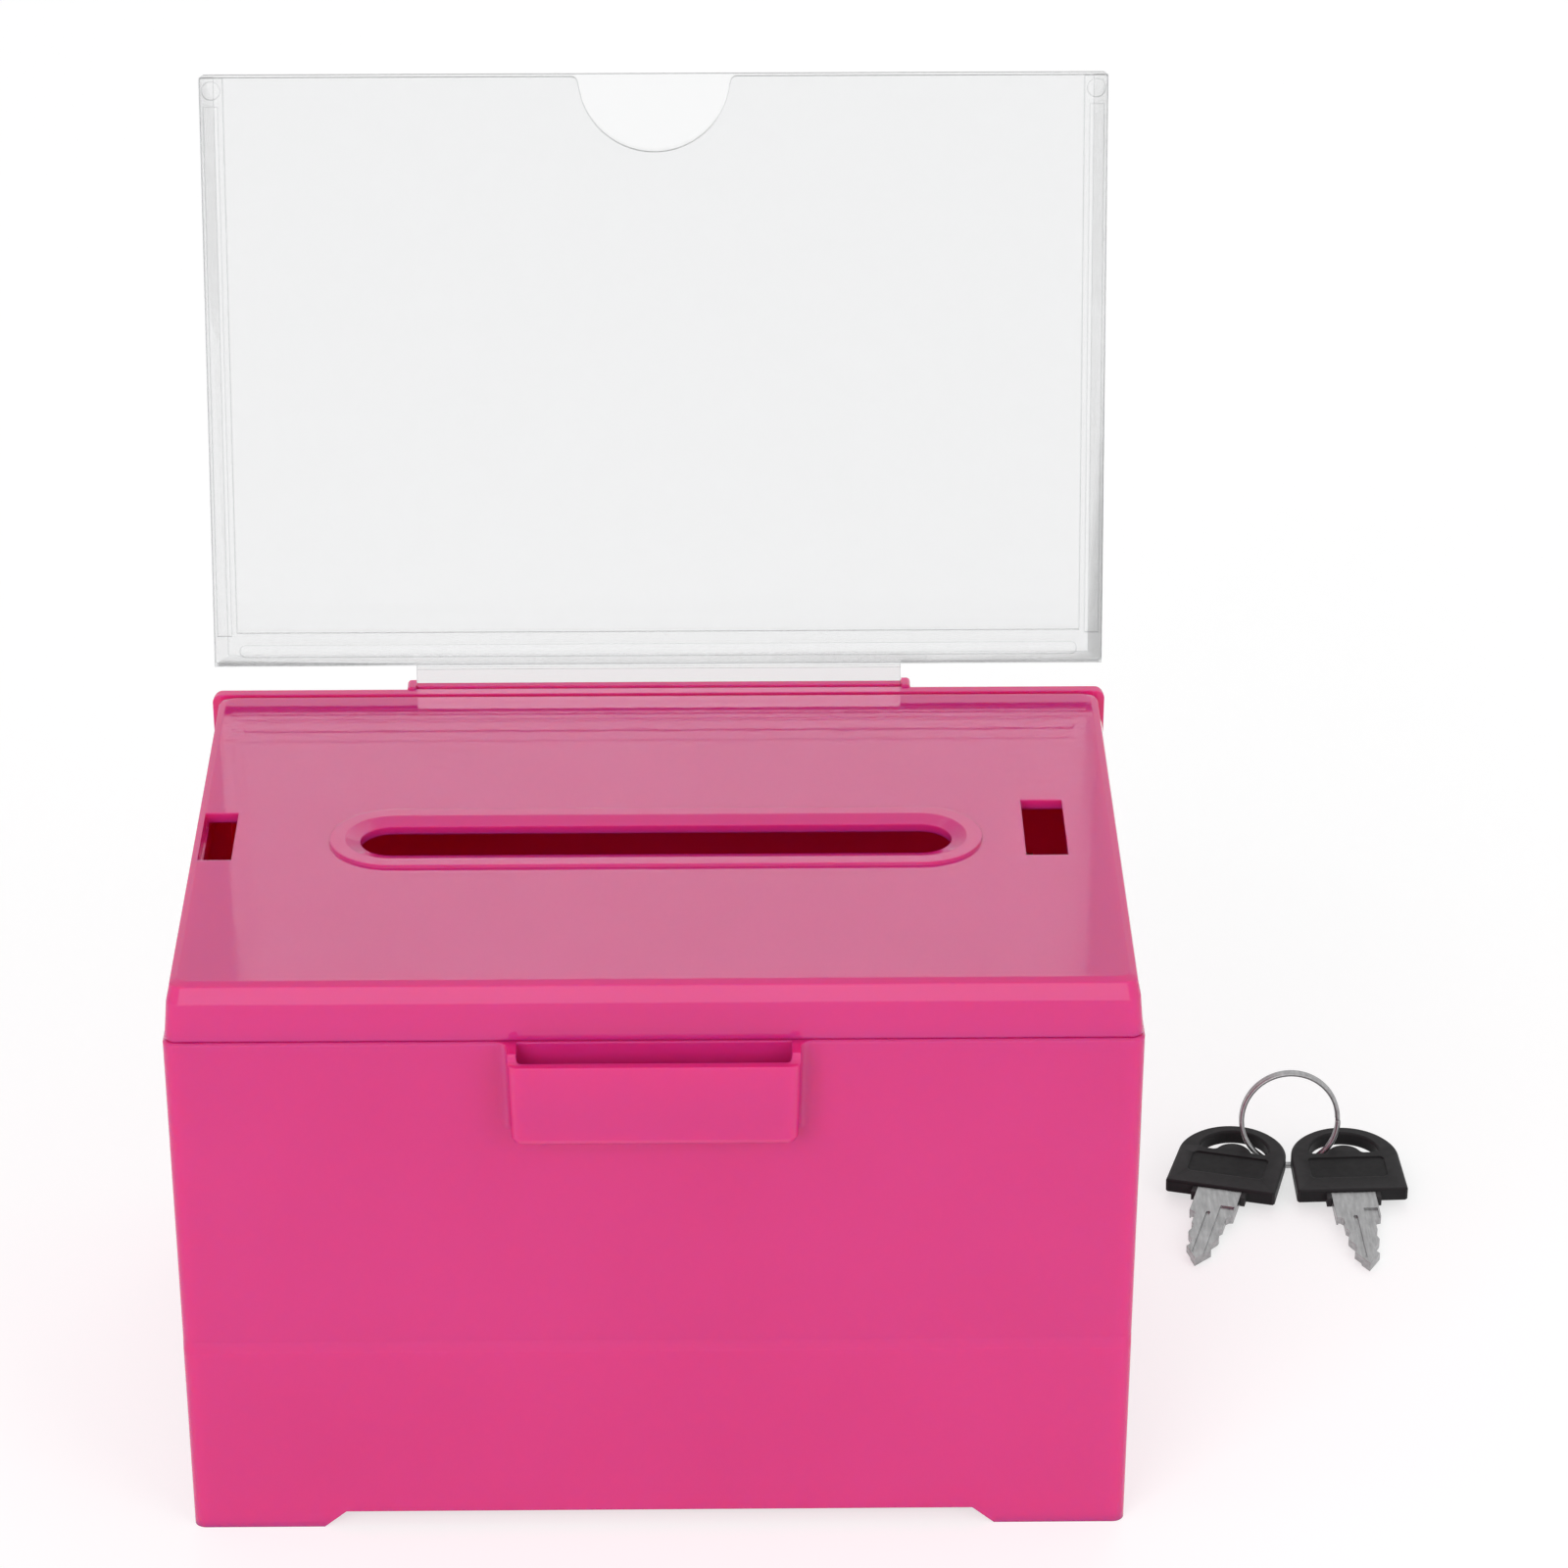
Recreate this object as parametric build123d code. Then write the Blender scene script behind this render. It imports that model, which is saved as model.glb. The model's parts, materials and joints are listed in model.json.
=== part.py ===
from build123d import *
import os
from math import cos, radians, sin, sqrt

# Tabletop ballot box: tapered moulded body, hinged lid with a slot, slip-in sign holder, side cam lock
# and its two keys on a ring. Millimetres, +Z up. The box is drawn about the middle of its own body,
# standing on Z = 0 with its front towards -Y, and the whole set is moved to its footprint's centre at
# the end.

os.makedirs("parts", exist_ok=True)

# ---- Body -------------------------------------------------------------------------------------
BOX_WIDTH = 159.0            # outside, at the rim
BOX_DEPTH = 114.4            # outside, at the rim, without the front plinth's thickness
RIM_Z = 92.9                 # top of the front and side walls
REAR_TOP_Z = 102.5           # top of the raised rear wall
DRAFT_INSET = 1.1            # how far each outer face leans in from the rim down to the feet
WALL = 2.0
CORNER_R = 2.0
PLINTH_PROUD = 0.5           # the lower front stands out this far from the field above it
PLINTH_TOP_Z = 34.3
PLINTH_RAMP = 2.0
RIM_CHAMFER = 0.35
FLOOR_UNDER_Z = 3.2
FLOOR_THICK = 2.2
FOOT_WALL = 2.6
FOOT_LENGTH = 22.0           # along each side, measured from the corner
ARCH_HEIGHT = 3.0
ARCH_SLOPE = 3.7
REAR_WALL_CORNER_R = 1.5

# ---- Front pocket -----------------------------------------------------------------------------
POCKET_WIDTH = 47.3
POCKET_OUT = 6.3             # how far its front stands out from the field
POCKET_BOTTOM_Z = 76.8
POCKET_WALL = 1.4
POCKET_LIP_DROP = 1.4        # its front edge lies this far under the rim
POCKET_TAPER = 0.45
POCKET_ROOT_R = 2.0          # where its sides run into the front wall

# ---- Sign socket on the rear wall --------------------------------------------------------------
SOCKET_HALF_WIDTH = 45.0
SOCKET_INNER_HALF_WIDTH = 43.4
SOCKET_GAP_FRONT = 57.4
SOCKET_GAP = 1.6
SOCKET_STRIP = 1.5
SOCKET_BOTTOM_Z = 78.0
SOCKET_FLOOR = 2.0
EAR_RISE = 0.4

# ---- Lid --------------------------------------------------------------------------------------
LID_HEIGHT = 10.0
LID_HALF_WIDTH = 79.2        # at its lower edge
LID_FRONT = 56.9             # front face, at its lower edge
LID_REAR = 54.4              # rear edge, clear of the raised wall
LID_PLATE = 1.8
LID_SKIRT = 2.1
LID_BEVEL_HEIGHT = 3.3       # from the band's foot to the top
LID_CROWN = 0.4              # how far the top's border rolls down to the band
SLOT_LENGTH = 100.0
SLOT_WIDTH = 11.0
SLOT_RIM = 5.2               # width of the raised rim round the slot
SLOT_RIM_RISE = 0.5
SLOT_FUNNEL = 2.6
SLOT_Y = -3.5
HINGE_WINDOW_X = (-77.0, -71.3)
HINGE_WINDOW_Y = (-10.9, 6.9)
STRIKE_WINDOW_X = (62.3, 69.4)
STRIKE_WINDOW_Y = (-10.6, 10.4)

# ---- Hooks under the lid -------------------------------------------------------------------------
HOOK_THICK = 1.8
HINGE_FOOT_TOP_Z = RIM_Z - 5.2
HINGE_FOOT_THICK = 1.6
LEDGE_TIP_X = -75.7
LEDGE_TOP_Z = RIM_Z - 2.8
LEDGE_THICK = 1.2
LEDGE_Y = (-12.5, 8.5)
STRIKE_FOOT_TOP_Z = 64.1
STRIKE_FOOT_THICK = 2.0

# ---- Sign holder -----------------------------------------------------------------------------------
SIGN_WIDTH = 158.0
SIGN_HEIGHT = 105.1
SIGN_TILT = 11.5             # degrees back from upright
SHEET = 1.0
INSERT_GAP = 0.4
RAIL_WIDTH = 4.1
RAIL_PROUD = 0.5
BEND_Z = 106.3
TAB_WIDTH = 86.4
TAB_THICK = 1.2
TAB_BOTTOM_Z = 80.4
THUMB_RADIUS = 13.2
THUMB_FLARE = 1.3

# ---- Cam lock, on an axis along X through the right wall -----------------------------------------
LOCK_Y = 18.0
LOCK_Z = 70.0
PAD_OUTER_X = 79.75
PAD_INNER_X = 77.0
BEZEL_R = 8.5
BEZEL_THICK = 2.0
BARREL_R = 6.0
BARREL_FLATS = 10.6
BARREL_END_X = 66.0
PLUG_R = 4.2
PLUG_HEAD_R = 5.0
PLUG_HEAD_THICK = 1.45
RUNNING_GAP = 0.05
TAIL_R = 3.2
TAIL_FLATS = 4.6
CAM_THICK = 2.0
CAM_LENGTH = 17.0            # from the lock's axis to the cam's tip
CAM_WIDTH = 11.0
CAM_FACE_X = 65.3
STOP_START = 56.0            # degrees, where the stop ring's window starts and ends
STOP_END = 214.0
KEYWAY_WIDTH = 2.1
KEYWAY_HEIGHT = 6.1
KEYWAY_END_X = 66.7
WAFER_COUNT = 5
WAFER_PITCH = 1.7
WAFER_THICK = 0.6
FIRST_WAFER_X = 70.9

# ---- Keys and ring -----------------------------------------------------------------------------------
HEAD_FOOT_WIDTH = 20.6
HEAD_SHOULDER_WIDTH = 20.1
HEAD_STRAIGHT = 11.3
HEAD_ARCH = 9.7
HEAD_THICK = 2.8
BLADE_THICK = 1.8
BLADE_LENGTH = 22.9          # from the head to the tip
BLADE_SHOULDER_LENGTH = 7.9
KEY_LIE_ANGLE = 4.3          # degrees that a key's head is raised by the ring under it
KEY_TIP_Z = 0.9
RING_R = 9.0
RING_WIRE_R = 0.45
RING_PITCH = 1.0
RING_LEAN = 80.0             # degrees from level
RING_HOLE_POINT = (3.2, 15.6)
LEFT_KEY_TURN = -16.0
RIGHT_KEY_TURN = 2.2
RIGHT_KEY_AT = (127.6, 47.5)
KEY_SPACING = 13.4           # between the two points where the ring passes through the heads

# The set's footprint centre, which becomes the origin.
SET_CENTRE = (29.2, 8.2)


def x_plane(x):
    """A sketch plane square to the lock's axis: its x is +Y, its y is +Z and it faces +X."""
    return Plane(origin=(x, LOCK_Y, LOCK_Z), x_dir=(0, 1, 0), z_dir=(1, 0, 0))


def span_box(x, y, z):
    """A box between two x, two y and two z values."""
    size = (x[1] - x[0], y[1] - y[0], z[1] - z[0])
    return Pos((x[0] + x[1]) / 2, (y[0] + y[1]) / 2, (z[0] + z[1]) / 2) * Box(*size)


def lean_in(z):
    return DRAFT_INSET * (RIM_Z - z) / RIM_Z


def body_section(z, inset, proud=0.0):
    """The body's rounded rectangle at height z, inset from its outer face, its front proud of it."""
    shrink = lean_in(z) + inset
    width = BOX_WIDTH - 2 * shrink
    depth = BOX_DEPTH + proud - 2 * shrink
    radius = max(CORNER_R - inset, 0.5)
    return Plane.XY.offset(z) * Pos(0, -proud / 2) * RectangleRounded(width, depth, radius)


def body_taper(z_low, z_high, inset):
    return loft([body_section(z_low, inset), body_section(z_high, inset)])


def body_outside():
    """The body's outer form: plinth, ramp, tapered walls, softened rim and raised rear wall."""
    ramp_top = PLINTH_TOP_Z + PLINTH_RAMP
    rim_start = RIM_Z - RIM_CHAMFER
    plinth = loft([body_section(0, 0, PLINTH_PROUD), body_section(PLINTH_TOP_Z, 0, PLINTH_PROUD)])
    ramp = loft([body_section(PLINTH_TOP_Z, 0, PLINTH_PROUD), body_section(ramp_top, 0)])
    rim = loft([body_section(rim_start, 0), body_section(RIM_Z, RIM_CHAMFER)])
    rear_inner = BOX_DEPTH / 2 - WALL
    rear_zone = span_box((-BOX_WIDTH, BOX_WIDTH), (rear_inner, BOX_DEPTH), (RIM_Z - 5, REAR_TOP_Z))
    rear_wall = body_taper(RIM_Z - 5, REAR_TOP_Z, 0) & rear_zone
    for corner in rear_wall_corners():
        rear_wall -= corner
    return plinth + ramp + body_taper(ramp_top, rim_start, 0) + rim + rear_wall


def rear_wall_corners():
    """What rounds off the two upper corners of the raised rear wall, seen from the front."""
    half = BOX_WIDTH / 2 - lean_in(REAR_TOP_Z)
    radius = REAR_WALL_CORNER_R
    corners = []
    for side in (-1, 1):
        square = Pos(side * half, REAR_TOP_Z) * Rectangle(2 * radius, 2 * radius)
        round_part = Pos(side * (half - radius), REAR_TOP_Z - radius) * Circle(radius)
        corners.append(extrude(Plane.XZ * (square - round_part), BOX_DEPTH, both=True))
    return corners


def foot_arches():
    """The low gaps between the corner feet, through all four sides."""
    cuts = []
    for half, plane in ((BOX_WIDTH / 2 - DRAFT_INSET, Plane.XZ), (BOX_DEPTH / 2 - DRAFT_INSET, Plane.YZ)):
        at_floor = half - FOOT_LENGTH
        at_top = at_floor - ARCH_SLOPE
        outline = Polyline(
            (-at_floor, 0), (-at_top, ARCH_HEIGHT), (at_top, ARCH_HEIGHT), (at_floor, 0),
            (at_floor, -1), (-at_floor, -1), close=True,
        )
        cuts.append(extrude(plane * make_face(outline), BOX_WIDTH, both=True))
    return cuts


def pocket_half_width(z):
    return POCKET_WIDTH / 2 - pocket_taper(z)


def pocket_taper(z):
    return POCKET_TAPER * (RIM_Z - z) / (RIM_Z - POCKET_BOTTOM_Z)


def pocket_section(z, inset, inner_y):
    """The pocket's plan at height z, from inner_y out to its front."""
    half = pocket_half_width(z) - inset
    front = -(BOX_DEPTH / 2 + POCKET_OUT) + pocket_taper(z) + inset
    plan = Pos(0, (front + inner_y) / 2) * Rectangle(2 * half, inner_y - front)
    plan = fillet(plan.vertices().group_by(Axis.Y)[0], 1.7 - 0.8 * min(inset, 1))
    return Plane.XY.offset(z) * plan


def pocket_outside(z, inset):
    """The pocket's outer plan, with hollow corners that run its sides into the front wall."""
    field = -BOX_DEPTH / 2 + lean_in(z)
    inner_y = field + 1.0
    plan = Pos(0, 0, -z) * pocket_section(z, inset, inner_y)
    half = pocket_half_width(z) - inset
    radius = POCKET_ROOT_R
    for side in (-1, 1):
        root = Pos(side * (half + radius / 2 - 0.2), (inner_y + field - radius) / 2)
        root = root * Rectangle(radius + 0.4, inner_y - field + radius)
        plan += root - Pos(side * (half + radius), field - radius) * Circle(radius)
    return Plane.XY.offset(z) * plan


def front_pocket():
    """An open-topped card pocket moulded onto the front; returns what is added and what is cut."""
    levels = [
        (POCKET_BOTTOM_Z, 1.0), (POCKET_BOTTOM_Z + 0.4, 0.4),
        (POCKET_BOTTOM_Z + 1.2, 0.0), (RIM_Z, 0.0),
    ]
    outer = None
    for (low, low_inset), (high, high_inset) in zip(levels, levels[1:]):
        layer = loft([pocket_outside(low, low_inset), pocket_outside(high, high_inset)])
        outer = layer if outer is None else outer + layer
    hollow_bottom = POCKET_BOTTOM_Z + POCKET_WALL
    field = -(BOX_DEPTH / 2) + lean_in(hollow_bottom)
    hollow = loft([
        pocket_section(hollow_bottom, POCKET_WALL, field),
        pocket_section(RIM_Z + 0.5, POCKET_WALL, field - lean_in(hollow_bottom)),
    ])
    front = -(BOX_DEPTH / 2 + POCKET_OUT)
    lip_z = RIM_Z - POCKET_LIP_DROP
    lip = Polyline(
        (front - 1, lip_z), (front + 1.2, lip_z), (front + 1.8, lip_z + 0.3), (front + 2.2, lip_z + 1.0),
        (front + 2.3, RIM_Z + 1), (front - 1, RIM_Z + 1), close=True,
    )
    lip_cut = extrude(Plane.YZ * make_face(lip), POCKET_WIDTH / 2 + 1, both=True)
    return outer, [hollow, lip_cut]


def sign_socket():
    """A flat pocket outside the rear wall for the sign's tab; returns what is added and cut."""
    strip_back = SOCKET_GAP_FRONT + SOCKET_GAP + SOCKET_STRIP
    rear_face = BOX_DEPTH / 2 - 1.0
    ear_top = REAR_TOP_Z + EAR_RISE
    outline = Pos(0, (SOCKET_BOTTOM_Z + ear_top) / 2) * Rectangle(
        2 * SOCKET_HALF_WIDTH, ear_top - SOCKET_BOTTOM_Z
    )
    outline = fillet(outline.vertices().group_by(Axis.Y)[-1], 0.75)
    block = extrude(Plane.XZ.offset(-strip_back) * outline, strip_back - rear_face)
    over_strip = span_box(
        (-SOCKET_INNER_HALF_WIDTH, SOCKET_INNER_HALF_WIDTH),
        (rear_face - 1, strip_back + 1),
        (REAR_TOP_Z, REAR_TOP_Z + 3),
    )
    front_of_ears = span_box(
        (-SOCKET_HALF_WIDTH - 1, SOCKET_HALF_WIDTH + 1),
        (rear_face - 1, SOCKET_GAP_FRONT),
        (REAR_TOP_Z, REAR_TOP_Z + 3),
    )
    gap = span_box(
        (-SOCKET_INNER_HALF_WIDTH, SOCKET_INNER_HALF_WIDTH),
        (SOCKET_GAP_FRONT, SOCKET_GAP_FRONT + SOCKET_GAP),
        (SOCKET_BOTTOM_Z + SOCKET_FLOOR, REAR_TOP_Z + 3),
    )
    return block, [over_strip, front_of_ears, gap]


def double_d(radius, flats):
    """A round section with two flats, facing up and down in its sketch."""
    return Circle(radius) & Rectangle(2 * radius + 1, flats)


def lock_seat():
    """Round pads on both faces of the right wall, and the double-D hole through them."""
    pads = extrude(x_plane(PAD_INNER_X) * Circle(BEZEL_R + 1.2), PAD_OUTER_X - PAD_INNER_X)
    hole = extrude(x_plane(PAD_INNER_X - 2) * double_d(BARREL_R + 0.1, BARREL_FLATS + 0.2), 8)
    return pads, hole


def make_body():
    pocket, pocket_cuts = front_pocket()
    socket, socket_cuts = sign_socket()
    pads, lock_hole = lock_seat()
    body = body_outside() + pocket + socket
    floor_top = FLOOR_UNDER_Z + FLOOR_THICK
    body -= body_taper(floor_top, REAR_TOP_Z + 3, WALL)
    body -= body_taper(-1, FLOOR_UNDER_Z, FOOT_WALL)
    body = body + pads
    for cut in foot_arches() + pocket_cuts + socket_cuts + [lock_hole]:
        body -= cut
    wall_inner = -(BOX_WIDTH / 2 - WALL) - 0.5
    ledge = span_box((wall_inner, LEDGE_TIP_X), LEDGE_Y, (LEDGE_TOP_Z - LEDGE_THICK, LEDGE_TOP_Z))
    return body + ledge


def lid_section(z, side_in, front_in, rear_in, inset):
    half = LID_HALF_WIDTH - side_in - inset
    front = -(LID_FRONT - front_in - inset)
    rear = LID_REAR - rear_in - inset
    radius = max(2.0 - inset, 0.4)
    plan = Pos(0, (front + rear) / 2) * RectangleRounded(2 * half, rear - front, radius)
    return Plane.XY.offset(z) * plan


def lid_shell():
    """The lid's tray: drafted skirt, sloped band, rolled border and flat plate."""
    bevel_z = RIM_Z + LID_HEIGHT - LID_BEVEL_HEIGHT
    top_z = RIM_Z + LID_HEIGHT
    crown_z = top_z - LID_CROWN
    edge = 0.35
    profile = [
        lid_section(RIM_Z, 0, 0, 0, edge),
        lid_section(RIM_Z + edge, 0, 0, 0, 0),
        lid_section(bevel_z, 0.5, 0.4, 0.2, 0),
        lid_section(crown_z, 1.1, 1.2, 0.5, 0),
        lid_section(top_z, 2.3, 2.6, 1.2, 0),
    ]
    shell = None
    for lower, upper in zip(profile, profile[1:]):
        layer = loft([lower, upper])
        shell = layer if shell is None else shell + layer
    under_plate = top_z - LID_PLATE
    shell -= loft([
        lid_section(RIM_Z - 0.5, 0, 0, 0, LID_SKIRT),
        lid_section(under_plate, 0.6, 0.6, 0.3, LID_SKIRT),
    ])
    for side in (-1, 1):
        corner = Polyline(
            (side * (LID_HALF_WIDTH + 1), LID_REAR - 6.4),
            (side * (LID_HALF_WIDTH - 0.7), LID_REAR - 5.0),
            (side * (LID_HALF_WIDTH - 1.5), LID_REAR - 1.6),
            (side * (LID_HALF_WIDTH - 2.6), LID_REAR - 0.3),
            (side * (LID_HALF_WIDTH - 3.2), LID_REAR + 1),
            (side * (LID_HALF_WIDTH + 1), LID_REAR + 1),
            close=True,
        )
        shell -= extrude(Plane.XY.offset(RIM_Z - 1) * make_face(corner), LID_HEIGHT + 3)
    return shell


def slot_rim():
    """The raised rim round the slot; returns what is added and what is cut."""
    top_z = RIM_Z + LID_HEIGHT
    place = Pos(0, SLOT_Y)
    outer = Plane.XY.offset(top_z - 0.3) * place * SlotOverall(
        SLOT_LENGTH + 2 * SLOT_RIM, SLOT_WIDTH + 2 * SLOT_RIM
    )
    rim = extrude(outer, SLOT_RIM_RISE + 0.3)
    mouth = Plane.XY.offset(top_z + SLOT_RIM_RISE) * place * SlotOverall(
        SLOT_LENGTH + 2 * SLOT_FUNNEL, SLOT_WIDTH + 2 * SLOT_FUNNEL
    )
    throat = Plane.XY.offset(top_z - 0.3) * place * SlotOverall(SLOT_LENGTH, SLOT_WIDTH)
    funnel = loft([throat, mouth])
    below = Plane.XY.offset(top_z - LID_PLATE - 1) * place * SlotOverall(SLOT_LENGTH, SLOT_WIDTH)
    through = extrude(below, 4)
    return rim, [funnel, through]


def hinge_hook():
    """The L-shaped tongue whose foot turns under the ledge on the left wall."""
    under_plate = RIM_Z + LID_HEIGHT - LID_PLATE
    web_x = (HINGE_WINDOW_X[1], HINGE_WINDOW_X[1] + HOOK_THICK)
    span_y = (HINGE_WINDOW_Y[0] + 0.4, HINGE_WINDOW_Y[1] - 0.4)
    foot_z = (HINGE_FOOT_TOP_Z - HINGE_FOOT_THICK, HINGE_FOOT_TOP_Z)
    web = span_box(web_x, span_y, (foot_z[0], under_plate + 0.2))
    foot = span_box((HINGE_WINDOW_X[0] + 0.1, web_x[1]), span_y, foot_z)
    return web + foot + gussets(web_x[1], 1, span_y, under_plate, 8.0)


def strike_hook():
    """The tall J-shaped strike whose foot the cam holds down."""
    under_plate = RIM_Z + LID_HEIGHT - LID_PLATE
    web_x = (STRIKE_WINDOW_X[0] - HOOK_THICK, STRIKE_WINDOW_X[0])
    span_y = (STRIKE_WINDOW_Y[0] + 0.2, STRIKE_WINDOW_Y[1] - 0.2)
    foot_z = (STRIKE_FOOT_TOP_Z - STRIKE_FOOT_THICK, STRIKE_FOOT_TOP_Z)
    web = span_box(web_x, span_y, (foot_z[0], under_plate + 0.2))
    foot = span_box((web_x[0], STRIKE_WINDOW_X[1] - 0.2), span_y, foot_z)
    return web + foot + gussets(web_x[0], -1, span_y, under_plate, 14.0)


def gussets(x, away, span_y, top_z, drop):
    """Two thin triangular ribs that brace a hook against the lid's plate."""
    reach = 4.5
    rib = 1.4
    triangle = Polyline((x, top_z + 0.2), (x + away * reach, top_z + 0.2), (x, top_z - drop), close=True)
    pair = []
    for y in (span_y[0] + 3.0, span_y[1] - 3.0):
        pair.append(extrude(Plane.XZ.offset(-y) * make_face(triangle), rib / 2, both=True))
    return pair


def make_lid():
    rim, cuts = slot_rim()
    lid = lid_shell() + rim
    for cut in cuts:
        lid -= cut
    top_z = RIM_Z + LID_HEIGHT
    for window_x, window_y in ((HINGE_WINDOW_X, HINGE_WINDOW_Y), (STRIKE_WINDOW_X, STRIKE_WINDOW_Y)):
        lid -= span_box(window_x, window_y, (top_z - LID_PLATE - 1, top_z + 1))
    return lid + hinge_hook() + strike_hook()


def sign_plane(forward):
    """A plane parallel to the sign: x along the box, y up the slope, forward mm towards the front."""
    tilt = radians(SIGN_TILT)
    up = Vector(0, sin(tilt), cos(tilt))
    out = Vector(0, -cos(tilt), sin(tilt))
    tab_y = SOCKET_GAP_FRONT + SOCKET_GAP / 2
    return Plane(origin=Vector(0, tab_y, BEND_Z) + out * forward, x_dir=(1, 0, 0), z_dir=out)


def sign_outline(bottom, top, half_width, radius):
    sheet = Pos(0, (bottom + top) / 2) * Rectangle(2 * half_width, top - bottom)
    return fillet(sheet.vertices(), radius)


def make_sign_back():
    """The back sheet, with the upright tab below its bend."""
    half = SIGN_WIDTH / 2
    sheet = extrude(sign_plane(-SHEET / 2) * sign_outline(1.0, 1.0 + SIGN_HEIGHT, half, 0.8), SHEET)
    lead = sign_plane(-SHEET / 2) * Pos(0, 0.75) * Rectangle(TAB_WIDTH, 2.5)
    neck = extrude(lead, SHEET)
    tab_y = SOCKET_GAP_FRONT + SOCKET_GAP / 2
    tab_outline = Pos(0, (TAB_BOTTOM_Z + BEND_Z) / 2) * Rectangle(TAB_WIDTH, BEND_Z - TAB_BOTTOM_Z)
    tab_outline = fillet(tab_outline.vertices().group_by(Axis.Y)[0], 2.0)
    tab = extrude(Plane.XZ.offset(-tab_y) * tab_outline, TAB_THICK / 2, both=True)
    return sheet + neck + tab


def sign_rails(base, top):
    """Raised side rails and bottom bar on the front sheet."""
    half = SIGN_WIDTH / 2
    rails = []
    for side in (-1, 1):
        strip = Pos(side * (half - RAIL_WIDTH / 2), (1.0 + top) / 2) * Rectangle(RAIL_WIDTH, top - 1.0)
        rails.append(strip)
    bar = Pos(0, 1.0 + 3.0) * Rectangle(2 * half - 1, 6.0)
    plan = rails[0] + rails[1] + bar
    return extrude(sign_plane(base) * plan, RAIL_PROUD)


def make_sign_front():
    """The front sheet: side rails with long channels, bottom bar, and the thumb notch at its top."""
    half = SIGN_WIDTH / 2
    face = SHEET / 2 + INSERT_GAP
    top = 1.0 + SIGN_HEIGHT - 0.3
    outline = sign_outline(1.0, top, half, 0.8)
    notch = Pos(0, top) * Circle(THUMB_RADIUS)
    flare = Pos(0, top) * Rectangle(2 * (THUMB_RADIUS + THUMB_FLARE), 2 * THUMB_FLARE)
    rounds = [Pos(s * (THUMB_RADIUS + THUMB_FLARE), top - THUMB_FLARE) * Circle(THUMB_FLARE) for s in (-1, 1)]
    outline = outline - notch - (flare - rounds[0] - rounds[1])
    sheet = extrude(sign_plane(face) * outline, SHEET)
    front = face + SHEET
    sheet += sign_rails(front, top)
    closing = [
        Pos(side * (half - 1.2), (1.0 + top) / 2) * Rectangle(2.4, top - 1.0) for side in (-1, 1)
    ]
    closing.append(Pos(0, 1.0 + 0.9) * Rectangle(2 * half - 4, 1.8))
    gap_fill = extrude(sign_plane(SHEET / 2) * (closing[0] + closing[1] + closing[2]), INSERT_GAP)
    sheet += gap_fill
    deep = 0.35
    channel_plane = sign_plane(front + RAIL_PROUD - deep)
    for side in (-1, 1):
        mid = (6.5 + 100.8) / 2
        channel = Pos(side * (half - RAIL_WIDTH / 2 + 0.15), mid) * Rectangle(2.5, 100.8 - 6.5)
        dimple = Pos(side * (half - RAIL_WIDTH / 2), top - 2.2) * Circle(1.6)
        sheet -= extrude(channel_plane * channel, 1)
        sheet -= extrude(channel_plane * dimple, 1)
    bar_slot = Pos(0, 3.7) * SlotOverall(2 * half - 9, 2.2)
    return sheet - extrude(channel_plane * bar_slot, 1)


def ring_sector(inner, outer, start, end):
    """A flat ring between two radii and two angles in degrees."""
    step = 30.0
    count = int((end - start) / step) + 1
    fan = [(0, 0)]
    for i in range(count + 1):
        angle = radians(start + (end - start) * i / count)
        fan.append((3 * outer * cos(angle), 3 * outer * sin(angle)))
    wedge = make_face(Polyline(*fan, close=True))
    return (Circle(outer) - Circle(inner)) & wedge


def make_lock_housing():
    """Bezel and barrel, with the plug's bore, the wafers' grooves and the quarter-turn stop."""
    bezel = extrude(x_plane(PAD_OUTER_X) * Circle(BEZEL_R), BEZEL_THICK)
    bezel = chamfer(bezel.edges().filter_by(GeomType.CIRCLE).group_by(Axis.X)[-1], 0.6)
    barrel_length = PAD_OUTER_X - BARREL_END_X + 0.5
    barrel = extrude(x_plane(BARREL_END_X) * double_d(BARREL_R, BARREL_FLATS), barrel_length)
    housing = bezel + barrel
    housing -= extrude(x_plane(BARREL_END_X - 1) * Circle(PLUG_R + RUNNING_GAP), 20)
    mouth_x = PAD_OUTER_X + BEZEL_THICK - PLUG_HEAD_THICK - RUNNING_GAP
    housing -= extrude(x_plane(mouth_x) * Circle(PLUG_HEAD_R + RUNNING_GAP), 5)
    groove = Rectangle(4.6, 2 * PLUG_R + 0.9)
    housing -= extrude(x_plane(FIRST_WAFER_X - 1) * groove, WAFER_COUNT * WAFER_PITCH + 0.5)
    stop = ring_sector(PLUG_R + 0.35, BARREL_R - 0.7, STOP_END, STOP_START + 360)
    return housing + extrude(x_plane(BARREL_END_X - 0.5) * stop, 0.6)


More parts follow.
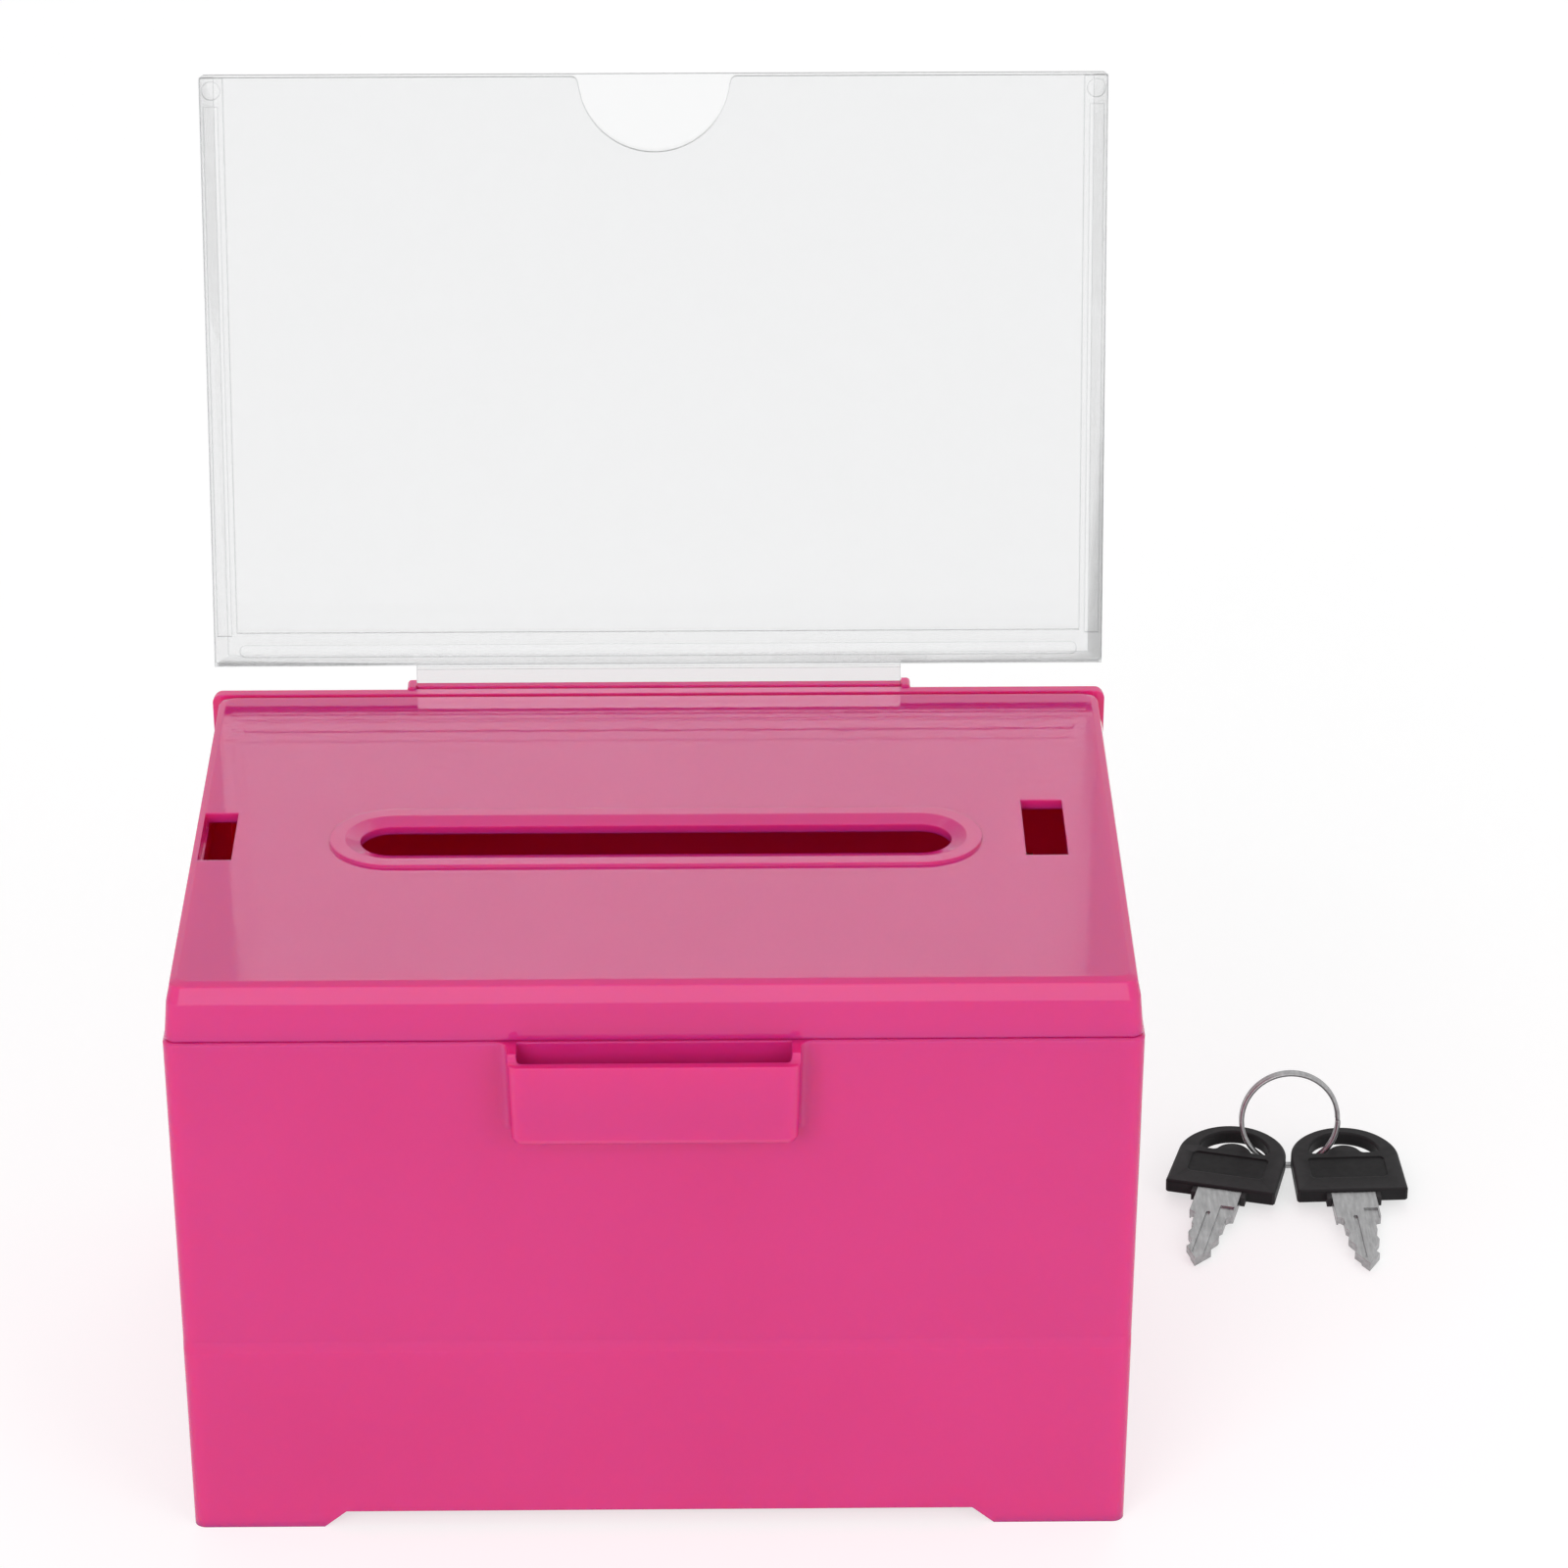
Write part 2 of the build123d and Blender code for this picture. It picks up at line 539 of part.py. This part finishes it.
def make_lock_plug():
    """The turning plug: head, keyway, wafer slots and double-D tail."""
    face_x = PAD_OUTER_X + BEZEL_THICK
    head_x = face_x - PLUG_HEAD_THICK
    body_end = CAM_FACE_X + 0.55
    plug = extrude(x_plane(body_end) * Circle(PLUG_R), head_x - body_end)
    plug += extrude(x_plane(head_x) * Circle(PLUG_HEAD_R), PLUG_HEAD_THICK)
    tail_end = CAM_FACE_X - CAM_THICK + 0.1
    plug += extrude(x_plane(tail_end) * double_d(TAIL_R, TAIL_FLATS), body_end - tail_end)
    keyway = Rectangle(KEYWAY_WIDTH, KEYWAY_HEIGHT)
    plug -= extrude(x_plane(KEYWAY_END_X) * keyway, 20)
    for i in range(WAFER_COUNT):
        slot = Rectangle(4.3, 3 * PLUG_R)
        plug -= extrude(x_plane(FIRST_WAFER_X + i * WAFER_PITCH) * slot, WAFER_THICK + 0.1)
    return plug - extrude(x_plane(tail_end - 1) * Circle(1.25), 3.9)


def make_wafers():
    """Five flat tumblers, each with the window that the key's blade passes through."""
    wafers = []
    for i in range(WAFER_COUNT):
        shift = 0.25 * ((i * 2) % 3 - 1)
        window = Pos(0, shift) * Rectangle(2.5, KEYWAY_HEIGHT - 0.3)
        plan = (Rectangle(4.2, 3 * PLUG_R) & Circle(PLUG_R - 0.05)) - window
        wafers.append(extrude(x_plane(FIRST_WAFER_X + 0.05 + i * WAFER_PITCH) * plan, WAFER_THICK))
    return Compound(wafers)


def make_stop_washer():
    tab = ring_sector(TAIL_R + 0.8, BARREL_R - 0.8, 60, 120)
    plan = Circle(PLUG_R + 0.05) - double_d(TAIL_R + 0.03, TAIL_FLATS + 0.06) + tab
    return extrude(x_plane(CAM_FACE_X + 0.02) * plan, 0.5)


def make_cam():
    arm = Pos(0, CAM_LENGTH / 2) * Rectangle(CAM_WIDTH, CAM_LENGTH)
    arm = fillet(arm.vertices().group_by(Axis.Y)[-1], 2.0)
    plan = arm + Circle(CAM_WIDTH / 2 + 0.6) - double_d(TAIL_R + 0.03, TAIL_FLATS + 0.06)
    return extrude(x_plane(CAM_FACE_X - CAM_THICK) * plan, CAM_THICK)


def make_cam_washer():
    """A split spring washer under the screw's head."""
    plan = (Circle(3.3) - Circle(1.45)) - Pos(0, 2.4) * Rectangle(0.5, 2.4)
    return extrude(x_plane(CAM_FACE_X - CAM_THICK - 0.6) * plan, 0.6)


def make_cam_screw():
    seat_x = CAM_FACE_X - CAM_THICK - 0.6
    head = extrude(x_plane(seat_x - 1.5) * Circle(2.9), 1.5)
    head = chamfer(head.edges().filter_by(GeomType.CIRCLE).group_by(Axis.X)[0], 0.45)
    shank = extrude(x_plane(seat_x) * Circle(1.2), 3.2)
    cross = Rectangle(0.7, 3.2) + Rectangle(3.2, 0.7)
    return head + shank - extrude(x_plane(seat_x - 2.5) * cross, 1.8)


def make_nut_washer():
    """A washer with eight locking teeth round its bore."""
    plan = Circle(8.6) - Circle(7.2)
    for i in range(8):
        tooth = Rot(0, 0, 45 * i) * Pos(6.85, 0) * Rectangle(1.3, 2.2)
        plan += tooth
    return extrude(x_plane(PAD_INNER_X - 0.6) * plan, 0.6)


def make_nut():
    nut = extrude(x_plane(PAD_INNER_X - 3.2) * (RegularPolygon(9.2, 6) - Circle(BARREL_R + 0.05)), 2.6)
    return nut


def key_head_outline():
    """A key head's outline: straight sides that widen to its foot, and an arched top."""
    foot = HEAD_FOOT_WIDTH / 2
    shoulder = HEAD_SHOULDER_WIDTH / 2
    sides = Polyline((-foot, 0), (foot, 0), (shoulder, HEAD_STRAIGHT), (-shoulder, HEAD_STRAIGHT), close=True)
    lower = make_face(sides)
    lower = fillet(lower.vertices().group_by(Axis.Y)[0], 0.5)
    return lower + Pos(0, HEAD_STRAIGHT) * Ellipse(shoulder, HEAD_ARCH)


def key_head_hole():
    """The kidney-shaped hole, with a bump rising into it from below."""
    hole = Pos(0, 12.6) * Ellipse(6.5, 6.2) & Pos(0, 17.6) * Rectangle(20, 10)
    hole = hole - Pos(0, 11.6) * Circle(3.5)
    return fillet(hole.vertices().group_by(Axis.Y)[0], 0.8)


def key_head():
    """A plastic key head, bevelled, with a bare recessed panel on both faces and lugs at its foot."""
    head = extrude(key_head_outline() - key_head_hole(), HEAD_THICK / 2, both=True)
    rims = []
    for face in head.faces().filter_by(Axis.Z):
        rims += face.edges()
    head = chamfer(rims, 0.35)
    for side in (-1, 1):
        lug = Pos(side * 4.6, -0.8) * Rectangle(0.9, 2.4)
        head += extrude(lug, 0.9, both=True)
    panel = Pos(0, 7.5) * RectangleRounded(14.2, 6.6, 0.9)
    for side in (-1, 1):
        head -= extrude(Plane.XY.offset(side * (HEAD_THICK / 2 - 0.2)) * panel, side * 1.0)
    return head


def blade_side(side):
    """One edge of the blade, from its end inside the head to the tip."""
    start = -BLADE_SHOULDER_LENGTH
    straight = Polyline(
        (side * 2.9, 9.0), (side * 2.9, 1.2), (side * 4.1, 1.2), (side * 4.1, start),
        (side * 3.4, start - 0.2), (side * 2.9, start - 0.8), (side * 2.9, start - 3.9),
    )
    cuts = Spline(
        (side * 2.9, start - 3.9), (side * 2.35, start - 5.2), (side * 2.85, start - 6.9),
        (side * 1.85, start - 9.2), (side * 2.3, start - 11.4),
    )
    tip = Line((side * 2.3, start - 11.4), (0, -BLADE_LENGTH))
    return straight.edges() + cuts.edges() + tip.edges()


def key_blade():
    """A double-sided blade: tang, shoulders, cuts, tip and the grooves along both faces."""
    end = Line((-2.9, 9.0), (2.9, 9.0))
    plan = make_face(blade_side(-1) + blade_side(1) + end.edges())
    blade = extrude(plan, BLADE_THICK / 2, both=True)
    for side in (-1, 1):
        floor = Plane.XY.offset(side * (BLADE_THICK / 2 - 0.35))
        middle = Pos(side * -0.6, -14.3) * SlotOverall(13.6, 0.75, 90)
        edge = Pos(side * 2.5, -14.0) * Rectangle(2.6, 17.6)
        for groove in (middle, edge):
            blade -= extrude(floor * groove, side * 1.0)
    return blade


def key_location(x, y, turn):
    """Puts a key on the surface: tip down, head raised, and turned in plan about its head's foot."""
    height = KEY_TIP_Z + BLADE_LENGTH * sin(radians(KEY_LIE_ANGLE))
    return Pos(x, y, height) * Rot(0, 0, turn) * Rot(KEY_LIE_ANGLE, 0, 0)


def place_keys():
    """Locations of both keys, so that the ring passes through the facing ends of their holes."""
    hole_x, hole_y = RING_HOLE_POINT
    right = key_location(RIGHT_KEY_AT[0], RIGHT_KEY_AT[1], RIGHT_KEY_TURN)
    end = (right * Pos(-hole_x, hole_y, 0)).position
    left_at_origin = key_location(0, 0, LEFT_KEY_TURN)
    start = (left_at_origin * Pos(hole_x, hole_y, 0)).position
    left = key_location(end.X - KEY_SPACING - start.X, end.Y - start.Y, LEFT_KEY_TURN)
    return left, right, end


def make_ring(end):
    """A split ring of two wire turns, leaning back over the heads."""
    lean = radians(RING_LEAN)
    to_centre = sqrt(RING_R**2 - (KEY_SPACING / 2) ** 2)
    up_slope = Vector(0, cos(lean), sin(lean))
    middle = end - Vector(KEY_SPACING / 2, 0, 0)
    centre = middle + up_slope * to_centre
    axis = Vector(0, -sin(lean), cos(lean))
    frame = Plane(origin=centre - axis * RING_PITCH, x_dir=(1, 0, 0), z_dir=axis)
    coil = Helix(RING_PITCH, 2 * RING_PITCH, RING_R)
    section = Plane(origin=coil @ 0, z_dir=coil % 0) * Circle(RING_WIRE_R)
    return frame.location * sweep(section, path=coil)


def build_parts():
    parts = {
        "box_body": make_body(),
        "lid": make_lid(),
        "sign_back_sheet": make_sign_back(),
        "sign_front_sheet": make_sign_front(),
        "lock_housing": make_lock_housing(),
        "lock_plug": make_lock_plug(),
        "wafer_tumblers": make_wafers(),
        "stop_washer": make_stop_washer(),
        "lock_cam": make_cam(),
        "cam_spring_washer": make_cam_washer(),
        "cam_screw": make_cam_screw(),
        "lock_nut_washer": make_nut_washer(),
        "lock_nut": make_nut(),
    }
    left, right, end = place_keys()
    blade = key_blade()
    head = key_head() - blade
    for name, location in (("left", left), ("right", right)):
        parts[f"{name}_key_head"] = location * head
        parts[f"{name}_key_blade"] = location * blade
    parts["key_ring"] = make_ring(end)
    return parts


def main():
    parts = build_parts()
    for name, shape in parts.items():
        moved = Pos(-SET_CENTRE[0], -SET_CENTRE[1], 0) * shape
        moved.label = name
        export_step(moved, f"parts/{name}.step")
    whole = Compound([Pos(-SET_CENTRE[0], -SET_CENTRE[1], 0) * p for p in parts.values()])
    box = whole.bounding_box()
    print("set from", box.min, "to", box.max)


main()
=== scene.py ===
import json
from math import radians

import bpy
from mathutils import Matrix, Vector

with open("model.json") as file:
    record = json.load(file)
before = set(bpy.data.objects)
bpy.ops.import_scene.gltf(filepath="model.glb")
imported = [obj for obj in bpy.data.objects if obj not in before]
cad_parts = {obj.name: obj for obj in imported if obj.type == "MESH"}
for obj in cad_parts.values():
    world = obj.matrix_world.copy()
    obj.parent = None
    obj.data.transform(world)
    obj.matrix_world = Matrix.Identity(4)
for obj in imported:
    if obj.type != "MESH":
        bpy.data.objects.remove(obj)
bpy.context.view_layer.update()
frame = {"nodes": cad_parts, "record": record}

# ---- Camera, solved from the photograph. Metres and degrees, the lens and sensor in mm. --------
# Where the box's own middle lies in the frame, whose origin is the whole set's footprint centre.
BOX_MIDDLE = (-0.0292, -0.0082)
CAMERA_X = 0.0110465  # from the box's middle, as is the next
CAMERA_Y = -0.866685
CAMERA_Z = 0.533319
CAMERA_DIP = 25.965
CAMERA_TURN = -0.702
LENS = 130.86
SENSOR_WIDTH = 36.0
CLIP_NEAR = 0.05
CLIP_FAR = 40.0

# ---- Surroundings and lamps. Lamp sizes in metres, powers in watts. ----------------------------
WHITE = 1.0
WORLD_LIGHT = 0.55  # the white surroundings, as a light source
FLOOR_REACH = 6.0
FLOOR_GLOW = 0.64  # with the lamps' light on FLOOR_MATT, this brings the floor to white
FLOOR_MATT = 0.45
LOW_AIM = (0.0, 0.0, 0.08)
HIGH_AIM = (0.0, 0.0, 0.1)

# ---- Shared by the materials -------------------------------------------------------------------
NOISE_ROUGHNESS = 0.55
EDGE_SAMPLES = 6
# The cosine of the angle by which a softened edge turns the surface: all edge tone up to the first,
# none from the second.
EDGE_FULL = 0.80
EDGE_NONE = 0.985


def grey(value):
    """A grey as a shader socket takes it."""
    return (value, value, value, 1.0)


def seen_directly(tree):
    """1 for rays that reach the camera straight, by a reflection or through a sheet, else 0."""
    path = tree.nodes.new("ShaderNodeLightPath")
    seen = path.outputs["Is Camera Ray"]
    for kind in ("Is Glossy Ray", "Is Transmission Ray"):
        either = tree.nodes.new("ShaderNodeMath")
        either.operation = "MAXIMUM"
        tree.links.new(seen, either.inputs[0])
        tree.links.new(path.outputs[kind], either.inputs[1])
        seen = either.outputs[0]
    return seen


def choose(tree, factor, off, on):
    """The shader called off where factor is 0, and the one called on where it is 1."""
    mix = tree.nodes.new("ShaderNodeMixShader")
    tree.links.new(factor, mix.inputs["Fac"])
    tree.links.new(off.outputs[0], mix.inputs[1])
    tree.links.new(on.outputs[0], mix.inputs[2])
    return mix.outputs[0]


class Nodes:
    """A short way to build one material's node tree."""

    def __init__(self, name):
        self.material = bpy.data.materials.new(name)
        self.material.use_nodes = True
        self.tree = self.material.node_tree
        self.tree.nodes.clear()
        self.output = self.new("ShaderNodeOutputMaterial")
        self.shader = self.new("ShaderNodeBsdfPrincipled")
        self.coords = self.new("ShaderNodeTexCoord").outputs["Object"]
        self.link(self.shader.outputs[0], self.output.inputs["Surface"])

    def new(self, kind, **settings):
        node = self.tree.nodes.new(kind)
        for key, value in settings.items():
            setattr(node, key, value)
        return node

    def link(self, start, end):
        self.tree.links.new(start, end)

    def set(self, **values):
        """Sets the main shader's own inputs, with _ for each space in their names."""
        for key, value in values.items():
            self.shader.inputs[key.replace("_", " ")].default_value = value

    def colour(self, source):
        self.link(source, self.shader.inputs["Base Color"])

    def roughness(self, source):
        self.link(source, self.shader.inputs["Roughness"])

    def stretch(self, scale):
        """Object coordinates scaled differently along each axis, for brushed or drawn surfaces."""
        mapping = self.new("ShaderNodeMapping")
        mapping.inputs["Scale"].default_value = scale
        self.link(self.coords, mapping.inputs["Vector"])
        return mapping.outputs["Vector"]

    def noise(self, scale, detail=3.0, vector=None):
        node = self.new("ShaderNodeTexNoise")
        node.inputs["Scale"].default_value = scale
        node.inputs["Detail"].default_value = detail
        node.inputs["Roughness"].default_value = NOISE_ROUGHNESS
        self.link(vector or self.coords, node.inputs["Vector"])
        return node.outputs["Fac"]

    def ramp(self, value, low, high, start=0.3, end=0.7):
        """A value or colour that runs from low to high as the input goes from start to end."""
        node = self.new("ShaderNodeValToRGB")
        ends = node.color_ramp.elements
        ends[0].position = start
        ends[1].position = end
        for element, tone in zip(ends, (low, high)):
            element.color = grey(tone) if isinstance(tone, float) else (*tone, 1.0)
        self.link(value, node.inputs["Fac"])
        return node.outputs["Color"]

    def softened(self, radius):
        """The surface's direction, as if its edges were rounded by radius metres."""
        bevel = self.new("ShaderNodeBevel", samples=EDGE_SAMPLES)
        bevel.inputs["Radius"].default_value = radius
        return bevel.outputs["Normal"]

    def edge_tone(self, painted_edge_shade, elsewhere, radius):
        """A colour that changes within radius metres of the solid's own edges."""
        facing = self.new("ShaderNodeVectorMath", operation="DOT_PRODUCT")
        self.link(self.softened(radius), facing.inputs[0])
        self.link(self.new("ShaderNodeNewGeometry").outputs["Normal"], facing.inputs[1])
        either_side = self.new("ShaderNodeMath", operation="ABSOLUTE")
        self.link(facing.outputs["Value"], either_side.inputs[0])
        return self.ramp(either_side.outputs[0], painted_edge_shade, elsewhere, EDGE_FULL, EDGE_NONE)

    def bump(self, height, strength, distance, edge=0.0):
        """Surface relief, over edges that look rounded by edge metres."""
        bump = self.new("ShaderNodeBump")
        bump.inputs["Strength"].default_value = strength
        bump.inputs["Distance"].default_value = distance
        self.link(height, bump.inputs["Height"])
        if edge:
            self.link(self.softened(edge), bump.inputs["Normal"])
        self.link(bump.outputs["Normal"], self.shader.inputs["Normal"])


def pink_plastic():
    """Glossy translucent moulding: flow variation, orange-peel relief, fine scuffs, red depth."""
    deep = (0.665, 0.0210, 0.208)
    pale = (0.700, 0.0250, 0.225)
    reach_by_colour = (1.0, 0.03, 0.09)  # red goes farthest inside, so the hollows glow red
    along_the_scuffs = (1.0, 0.12, 0.35)
    m = Nodes("pink_plastic")
    m.set(IOR=1.5, Subsurface_Weight=0.75, Subsurface_Scale=0.006)
    m.set(Subsurface_Radius=reach_by_colour)
    m.colour(m.ramp(m.noise(scale=16.0, detail=2.0), deep, pale))
    scuff = m.noise(scale=900.0, detail=4.0, vector=m.stretch(along_the_scuffs))
    m.roughness(m.ramp(scuff, 0.035, 0.085, start=0.35, end=0.75))
    m.bump(m.noise(scale=420.0, detail=2.0), strength=0.05, distance=0.0002, edge=0.00045)
    return m.material


def clear_plastic():
    """Clear moulded sheet that lets lamps through, with faint waviness, fine handling marks and
    painted shade along its edges.
    """
    # Darker colour within the edge radius: painted shade along the sheet's edges, in place of the
    # dark lines that refraction gives there.
    painted_edge_shade = (0.56, 0.57, 0.58)
    body = (0.875, 0.877, 0.879)
    along_the_marks = (1.0, 0.2, 1.0)
    m = Nodes("clear_plastic")
    m.set(IOR=1.47, Transmission_Weight=1.0, Specular_IOR_Level=0.3)
    m.colour(m.edge_tone(painted_edge_shade, body, radius=0.00035))
    depth = m.new("ShaderNodeVolumeAbsorption")
    depth.inputs["Color"].default_value = grey(0.80)
    depth.inputs["Density"].default_value = 110.0
    m.link(depth.outputs[0], m.output.inputs["Volume"])
    marks = m.noise(scale=260.0, detail=5.0, vector=m.stretch(along_the_marks))
    m.roughness(m.ramp(marks, 0.012, 0.05, start=0.45, end=0.8))
    m.bump(m.noise(scale=24.0, detail=2.0), strength=0.012, distance=0.0004)
    to_lamps = m.new("ShaderNodeBsdfTransparent")
    to_lamps.inputs["Color"].default_value = grey(0.93)
    shadow_ray = m.new("ShaderNodeLightPath").outputs["Is Shadow Ray"]
    surface = choose(m.tree, shadow_ray, off=m.shader, on=to_lamps)
    m.link(surface, m.output.inputs["Surface"])
    return m.material


def lock_chrome():
    """Bright plating with light wear and a little grime."""
    grime = (0.72, 0.72, 0.73)
    bright = (0.84, 0.84, 0.84)
    m = Nodes("lock_chrome")
    m.set(Metallic=1.0)
    m.colour(m.ramp(m.noise(scale=300.0, detail=4.0), grime, bright))
    m.roughness(m.ramp(m.noise(scale=900.0, detail=4.0), 0.07, 0.2))
    m.bump(m.noise(scale=1400.0), strength=0.06, distance=0.00005, edge=0.00015)
    return m.material


def zinc_steel():
    """Zinc-plated pressings with a mottled, slightly milky surface."""
    milky = (0.62, 0.63, 0.64)
    dull = (0.50, 0.51, 0.53)
    m = Nodes("zinc_steel")
    m.set(Metallic=1.0)
    spangle = m.new("ShaderNodeTexVoronoi")
    spangle.inputs["Scale"].default_value = 700.0
    m.link(m.coords, spangle.inputs["Vector"])
    m.colour(m.ramp(spangle.outputs["Distance"], milky, dull, start=0.1, end=0.7))
    m.roughness(m.ramp(m.noise(scale=500.0, detail=5.0), 0.28, 0.45))
    m.bump(m.noise(scale=1600.0), strength=0.1, distance=0.00005, edge=0.0001)
    return m.material


def brass():
    """Stamped brass with drawn streaks."""
    dark = (0.66, 0.47, 0.17)
    light = (0.82, 0.62, 0.27)
    along_the_streaks = (0.2, 1.0, 0.05)
    m = Nodes("brass")
    m.set(Metallic=1.0)
    streaks = m.noise(scale=1800.0, vector=m.stretch(along_the_streaks))
    m.colour(m.ramp(streaks, dark, light))
    m.roughness(m.ramp(streaks, 0.25, 0.38))
    m.bump(streaks, strength=0.08, distance=0.00003)
    return m.material


def black_plastic():
    """Satin black moulding with a fine grain and paler sharp edges that are a painted highlight."""
    black = (0.013, 0.013, 0.0135)
    # Paler colour on sharp edges: a painted highlight along the edges.
    painted_edge_highlight = (0.036, 0.036, 0.037)
    m = Nodes("black_plastic")
    m.set(IOR=1.5, Specular_IOR_Level=0.12)
    edge = m.new("ShaderNodeNewGeometry").outputs["Pointiness"]
    m.colour(m.ramp(edge, black, painted_edge_highlight, start=0.52, end=0.60))
    m.roughness(m.ramp(m.noise(scale=700.0, detail=4.0), 0.42, 0.56))
    m.bump(m.noise(scale=2400.0), strength=0.12, distance=0.00005, edge=0.0003)
    return m.material


def blade_steel():
    """Nickel-plated steel: rolling streaks, dull spots and soft edges."""
    dark = (0.30, 0.30, 0.303)
    light = (0.44, 0.44, 0.443)
    along_the_streaks = (1.0, 0.15, 1.0)
    m = Nodes("blade_steel")
    m.set(Metallic=1.0)
    streaks = m.noise(scale=1500.0, detail=4.0, vector=m.stretch(along_the_streaks))
    m.colour(m.ramp(streaks, dark, light))
    m.roughness(m.ramp(m.noise(scale=800.0, detail=5.0), 0.26, 0.46))
    m.bump(streaks, strength=0.12, distance=0.00005, edge=0.00012)
    return m.material


def dress_nodes():
    """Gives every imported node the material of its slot."""
    made = {
        "pink_plastic": pink_plastic(),
        "clear_plastic": clear_plastic(),
        "lock_chrome": lock_chrome(),
        "zinc_steel": zinc_steel(),
        "brass": brass(),
        "black_plastic": black_plastic(),
        "blade_steel": blade_steel(),
    }
    for part in frame["record"]["subparts"]:
        node = frame["nodes"][part["node"]]
        for place in node.material_slots:
            place.material = made[part["material_slot"]]


def pale_floor():
    """A plain pale surface that reads as white to the camera and keeps the soft shadow."""
    mesh = bpy.data.meshes.new("floor")
    reach = FLOOR_REACH
    corners = [(-reach, -reach, 0), (reach, -reach, 0), (reach, reach, 0), (-reach, reach, 0)]
    mesh.from_pydata(corners, [], [(0, 1, 2, 3)])
    floor = bpy.data.objects.new("floor", mesh)
    bpy.context.scene.collection.objects.link(floor)
    m = Nodes("pale_floor")
    m.set(Roughness=0.9, Specular_IOR_Level=0.0)
    m.colour(m.ramp(m.noise(scale=3.0), 0.86, 0.87))
    glow = m.new("ShaderNodeEmission")
    glow.inputs["Strength"].default_value = FLOOR_GLOW
    matt = m.new("ShaderNodeBsdfDiffuse")
    matt.inputs["Color"].default_value = grey(FLOOR_MATT)
    lit = m.new("ShaderNodeAddShader")
    m.link(matt.outputs[0], lit.inputs[0])
    m.link(glow.outputs[0], lit.inputs[1])
    surface = choose(m.tree, seen_directly(m.tree), off=m.shader, on=lit)
    m.link(surface, m.output.inputs["Surface"])
    mesh.materials.append(m.material)


def studio_world():
    """White surroundings wherever they are seen, with a gentler level as a light source."""
    world = bpy.data.worlds.new("studio")
    world.use_nodes = True
    bpy.context.scene.world = world
    tree = world.node_tree
    tree.nodes.clear()
    output = tree.nodes.new("ShaderNodeOutputWorld")
    shown = tree.nodes.new("ShaderNodeBackground")
    light = tree.nodes.new("ShaderNodeBackground")
    for background, strength in ((shown, WHITE), (light, WORLD_LIGHT)):
        background.inputs["Color"].default_value = grey(WHITE)
        background.inputs["Strength"].default_value = strength
    surface = choose(tree, seen_directly(tree), off=light, on=shown)
    tree.links.new(surface, output.inputs["Surface"])


def soft_lamp(name, place, aim, size, power, height=None):
    """A large lamp at place, turned towards aim: square, or height metres tall."""
    data = bpy.data.lights.new(name, "AREA")
    data.shape = "RECTANGLE"
    data.size = size
    data.size_y = height or size
    data.energy = power
    lamp = bpy.data.objects.new(name, data)
    bpy.context.scene.collection.objects.link(lamp)
    lamp.location = place
    away = Vector(place) - Vector(aim)
    lamp.rotation_euler = away.to_track_quat("Z", "Y").to_euler()
    return lamp


def light_the_set():
    """Three lamps that light without being mirrored, and a low one that may be."""
    plain_lamps = [
        soft_lamp("key", (-0.9, -1.7, 0.95), LOW_AIM, size=1.1, power=16.0),
        soft_lamp("fill", (1.2, -1.3, 0.75), LOW_AIM, size=1.0, power=7.0),
        soft_lamp("back", (0.2, 1.5, 1.4), HIGH_AIM, size=1.2, power=6.0),
    ]
    for lamp in plain_lamps:
        lamp.visible_glossy = False  # gloss mirrors the white surroundings, not these lamps
    soft_lamp("low_front", (0.0, -2.2, 0.30), LOW_AIM, size=1.2, power=2.6, height=0.55)


def photo_camera():
    """The camera solved from the photograph."""
    data = bpy.data.cameras.new("camera")
    data.sensor_fit = "HORIZONTAL"
    data.sensor_width = SENSOR_WIDTH
    data.lens = LENS
    data.clip_start = CLIP_NEAR
    data.clip_end = CLIP_FAR
    camera = bpy.data.objects.new("camera", data)
    bpy.context.scene.collection.objects.link(camera)
    camera.location = (CAMERA_X + BOX_MIDDLE[0], CAMERA_Y + BOX_MIDDLE[1], CAMERA_Z)
    camera.rotation_euler = (radians(90 - CAMERA_DIP), 0.0, radians(CAMERA_TURN))
    bpy.context.scene.camera = camera


dress_nodes()
pale_floor()
studio_world()
light_the_set()
photo_camera()
bpy.context.scene.view_settings.view_transform = "Standard"
